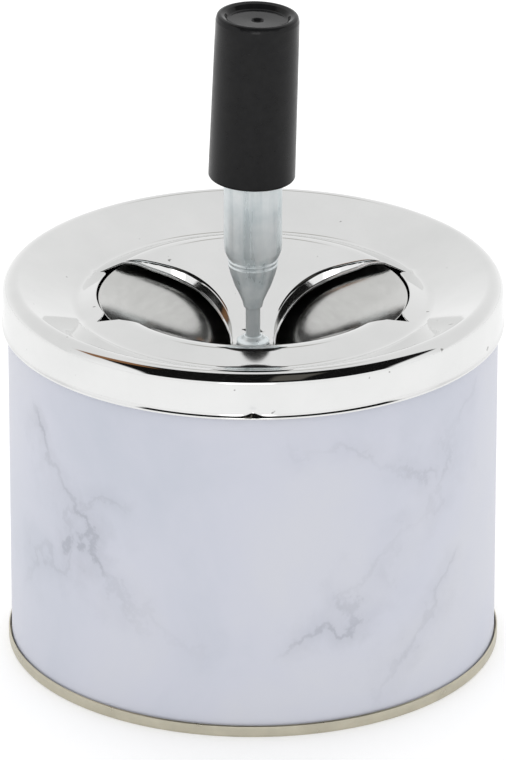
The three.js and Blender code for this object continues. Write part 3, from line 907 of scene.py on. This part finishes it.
def knob():
    length = KNOB_LENGTH
    bore = TUBE_RADIUS + 0.65
    shoulder = high("swivel_washer")[2] + 0.3 - KNOB_FOOT
    roof = high("swivel_head")[2] + 1.2 - KNOB_FOOT
    outline = rounded([
        (0, length - 1.75, 0), (0.75, length - 1.75, 0.3), (1.15, length - 1.15, 0.4), (5.6, length - 1.1, 0.5),
        (6.2, length - 0.25, 0.35), (6.9, length, 0.5), (7.55, length - 0.15, 0.7), (7.82, length - 1.1, 1.2),
        (8.15, 0.35, 0.3), (7.9, 0.0, 0.2), (6.45, 0.0, 0.2), (bore, 0.4, 0.2),
        (bore, shoulder, 0.3), (3.4, shoulder, 0.2), (3.4, roof, 0.3), (0, roof, 0),
    ], 7)
    obj = lathe("push_knob", outline[::-1], even_angles(128), closed=False)
    lift = Matrix.Translation((0, 0, (KNOB_FOOT + KNOB_LEAN_HEIGHT) * MM))
    back = Matrix.Translation((0, 0, -KNOB_LEAN_HEIGHT * MM))
    obj.data.transform(lift @ Matrix.Rotation(KNOB_LEAN, 4, "Y") @ back)
    return dress(obj, "knob", "knob_plastic", PLASTIC, "knob")


# ------------------------------------------------------------------ plate and its strip

def plate():
    flat = 4.6
    slope = (PLATE_RIM_Z - PLATE_FLAT_Z) / (PLATE_RADIUS - flat)
    t = PLATE_SHEET
    outline = rounded([
        (1.15, PLATE_FLAT_Z - t, 0), (flat, PLATE_FLAT_Z - t, 1.5),
        (PLATE_RADIUS - 0.1, PLATE_RIM_Z - 1.1 * t, 0.12), (PLATE_RADIUS, PLATE_RIM_Z - 0.5 * t, 0.2),
        (PLATE_RADIUS - 0.1, PLATE_RIM_Z - 0.05, 0.12), (PLATE_RADIUS - 0.5, PLATE_RIM_Z - 0.5 * slope, 0.2),
        (flat, PLATE_FLAT_Z, 2), (1.15, PLATE_FLAT_Z, 0),
    ], 5)
    return dress(lathe("drop_plate", outline, even_angles(256)), "rotor", "rotor_steel", SATIN, "rotor_plate")


def strip():
    """The twisted strip, straight where it is fixed, with its threaded end."""
    foot_z, top_z = low("rotor_hub")[2] - 0.1, high("spindle")[2]
    twist_foot, twist_top, lead = SEAT_Z, low("swivel_washer")[2] - 2, 18.0
    half, thick, edge = 0.85, 0.35, 0.1
    section = rounded([
        (-half, 0, 0), (-half, -thick, edge), (half, -thick, edge),
        (half, thick, edge), (-half, thick, edge), (-half, 0.01, 0),
    ], 3)
    verts = []
    steps = int((top_z - foot_z) / 0.25)
    for i in range(steps + 1):
        z = foot_z + (top_z - foot_z) * i / steps
        a = 2 * math.pi * (min(max(z, twist_foot), twist_top) - twist_foot) / lead
        for x, y in section:
            verts.append((x * math.cos(a) - y * math.sin(a), x * math.sin(a) + y * math.cos(a), z))
    faces = tube_faces(0, steps + 1, len(section))
    stud_foot, turns_round = low("spindle")[2], 24
    start = len(verts)
    rows = [(0.6, stud_foot), (half, stud_foot + 0.25), (half, foot_z - 0.05), (half, foot_z)]
    for r, z in rows:
        for k in range(turns_round):
            a = 2 * math.pi * k / turns_round
            verts.append((r * math.cos(a), r * math.sin(a), z))
    faces += tube_faces(start, len(rows), turns_round)
    obj = new_object("twisted_strip", verts, faces, 40)
    return dress(obj, "rotor", "spring_steel", STEEL, "spindle")


can_wall()
can_base()
lid_shell()
guide_tube()
stem()
foot()
spring()
knob()
plate()
strip()

# CAD nodes whose shape is already right keep it, and get the finished materials.
for node, material in (
    ("backing_washer", ZINC), ("drive_washer", STEEL), ("spring_seat", STEEL), ("swivel_washer", STEEL),
    ("swivel_head", STEEL), ("rotor_hub", ZINC), ("lock_washer", STEEL), ("spindle_nut", ZINC),
):
    obj = frame["nodes"][node]
    obj.data.materials.clear()
    obj.data.materials.append(material)

# ------------------------------------------------------------------ floor, light and camera

def floor():
    """A pale floor that glows a little, and less where it is mirrored."""
    side = 4000
    corners = [(-side, -side, 0), (side, -side, 0), (side, side, 0), (-side, side, 0)]
    obj = new_object("floor", corners, [[0, 1, 2, 3]])
    mat, tree, bsdf, _ = new_material("pale_floor")
    bsdf.inputs["Base Color"].default_value = (0.6, 0.6, 0.6, 1)
    bsdf.inputs["Roughness"].default_value = 0.9
    bsdf.inputs["Emission Color"].default_value = (1, 1, 1, 1)
    path = tree.nodes.new("ShaderNodeLightPath")
    glow = add(tree, "ShaderNodeMapRange")
    tree.links.new(path.outputs["Is Glossy Ray"], glow.inputs["Value"])
    glow.inputs["To Min"].default_value = 0.42
    glow.inputs["To Max"].default_value = 0.27
    tree.links.new(glow.outputs["Result"], bsdf.inputs["Emission Strength"])
    obj.data.materials.append(mat)


def masked(tree, value, start, end, soft):
    """1 between two values, with soft edges."""
    rise = add(tree, "ShaderNodeMapRange", interpolation_type="SMOOTHSTEP")
    fall = add(tree, "ShaderNodeMapRange", interpolation_type="SMOOTHSTEP")
    for node, edge, low_out, high_out in ((rise, start, 0, 1), (fall, end, 1, 0)):
        tree.links.new(value, node.inputs["Value"])
        node.inputs["From Min"].default_value = edge - soft
        node.inputs["From Max"].default_value = edge + soft
        node.inputs["To Min"].default_value = low_out
        node.inputs["To Max"].default_value = high_out
    return multiply(tree, rise.outputs["Result"], fall.outputs["Result"])


# Patches that only mirror-like rays see, placed for the photograph's view: (from, to) over
# the top in degrees, 0 at the back horizon and 180 at the front one; (from, to) from left to right;
# softness of the two; colour.
STUDIO = [
    ((46, 52), (-0.14, 0.14), (3, 0.05), (0.35, 0.34, 0.31)),
    ((78, 165), (-0.74, 0.88), (1.5, 0.03), (0.006, 0.006, 0.006)),
    ((76, 93), (-0.78, -0.4), (3, 0.04), (0.26, 0.13, 0.06)),
    ((100, 150), (0.12, 0.34), (4, 0.03), (0.09, 0.085, 0.075)),
    ((168, 184), (-0.22, 0.14), (2, 0.06), (3.0, 3.0, 3.0)),
]


def world():
    """A white room round the object. Mirror-like rays see it greyer, with the STUDIO patches."""
    w = bpy.data.worlds.new("studio")
    bpy.context.scene.world = w
    w.use_nodes = True
    tree = w.node_tree
    background = tree.nodes["Background"]
    coords = tree.nodes.new("ShaderNodeTexCoord")
    split = tree.nodes.new("ShaderNodeSeparateXYZ")
    tree.links.new(coords.outputs["Generated"], split.inputs["Vector"])
    over = math_node(tree, "ARCTAN2", split.outputs["Z"], split.outputs["Y"])
    degrees = math_node(tree, "DEGREES", over)
    colour = ramp(tree, multiply(tree, degrees, 1 / 180), [
        (0.0, grey(0.99)), (0.05, grey(0.94)), (0.14, grey(0.86)), (0.25, grey(0.83)),
        (0.4, grey(0.83)), (0.8, grey(0.95)), (1.0, grey(1.0)),
    ])
    for (start, end), (left, right), (soft, side_soft), tint in STUDIO:
        over_mask = masked(tree, degrees, start, end, soft)
        side_mask = masked(tree, split.outputs["X"], left, right, side_soft)
        colour = mix(tree, multiply(tree, over_mask, side_mask), colour, tint)
    path = tree.nodes.new("ShaderNodeLightPath")
    tree.links.new(mix(tree, path.outputs["Is Glossy Ray"], grey(1.0), colour), background.inputs["Color"])
    background.inputs["Strength"].default_value = 1.0


def area_light(name, place, target, size, power):
    data = bpy.data.lights.new(name, "AREA")
    data.shape = "RECTANGLE"
    data.size, data.size_y = size
    data.energy = power
    obj = bpy.data.objects.new(name, data)
    bpy.context.scene.collection.objects.link(obj)
    obj.visible_glossy = False
    obj.location = place
    obj.rotation_euler = (Vector(target) - Vector(place)).to_track_quat("-Z", "Y").to_euler()


def camera():
    """The photograph's view, from the front and above, through a long lens."""
    lid_radius = 47.5 * MM
    focal_pixels, image_height = 7534.1, 760
    data = bpy.data.cameras.new("camera")
    obj = bpy.data.objects.new("camera", data)
    bpy.context.scene.collection.objects.link(obj)
    bpy.context.scene.camera = obj
    elevation = math.radians(23.24)
    distance = 30 * lid_radius
    aim = Vector((0, 0, 1.104 * lid_radius))
    obj.location = aim + distance * Vector((0, -math.cos(elevation), math.sin(elevation)))
    obj.rotation_euler = (math.pi / 2 - elevation, 0, 0)
    data.sensor_fit = "VERTICAL"
    data.sensor_height = 36
    data.lens = focal_pixels * data.sensor_height / image_height
    data.clip_start = 0.05


floor()
world()
area_light("top_light", (0, 0.6, 1.6), (0, 0, 0.06), (1.4, 0.8), 9)
camera()
bpy.context.scene.view_settings.view_transform = "Standard"
